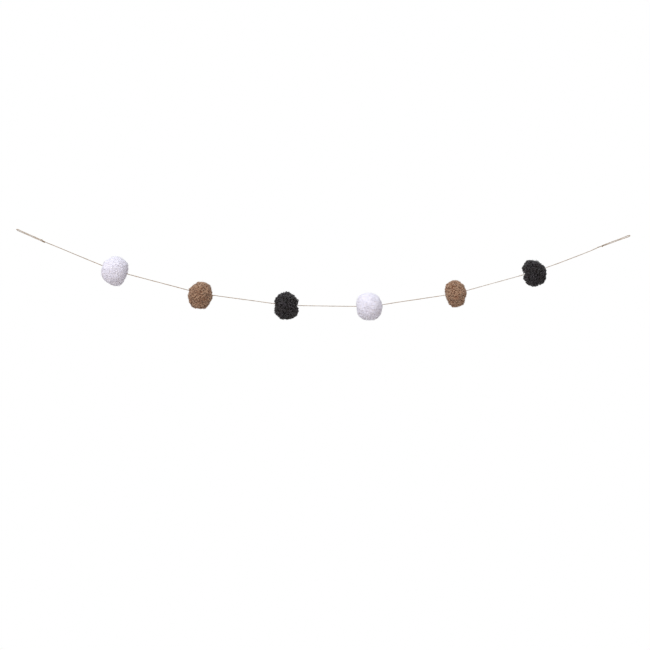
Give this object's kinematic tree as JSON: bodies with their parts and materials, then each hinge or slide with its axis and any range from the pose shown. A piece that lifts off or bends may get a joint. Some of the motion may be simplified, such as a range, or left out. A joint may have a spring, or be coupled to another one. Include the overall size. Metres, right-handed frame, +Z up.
{
  "type": "pom pom garland",
  "caption": "Yarn pom poms threaded on thin twine that hangs in a shallow curve, with a knotted loop at each end.",
  "frame": {"origin": "where the left end loop hangs, the middle of its eye", "axes": "+X along the garland from the left loop to the right one, +Y away from the viewer, +Z up"},
  "size_m": [1.7675, 0.0819, 0.2657],
  "materials": {
    "twine": "natural twisted twine, matt",
    "white_yarn": "cut wool yarn, matt",
    "tan_yarn": "cut wool yarn, matt",
    "charcoal_yarn": "cut wool yarn, matt"
  },
  "bodies": {
    "root": {"string": "twine", "left_loop": "twine", "left_knot": "twine", "right_loop": "twine", "right_knot": "twine", "pompom_1_white": "white_yarn", "pompom_2_tan": "tan_yarn", "pompom_3_charcoal": "charcoal_yarn", "pompom_4_white": "white_yarn", "pompom_5_tan": "tan_yarn", "pompom_6_charcoal": "charcoal_yarn"}
  },
  "joints": []
}
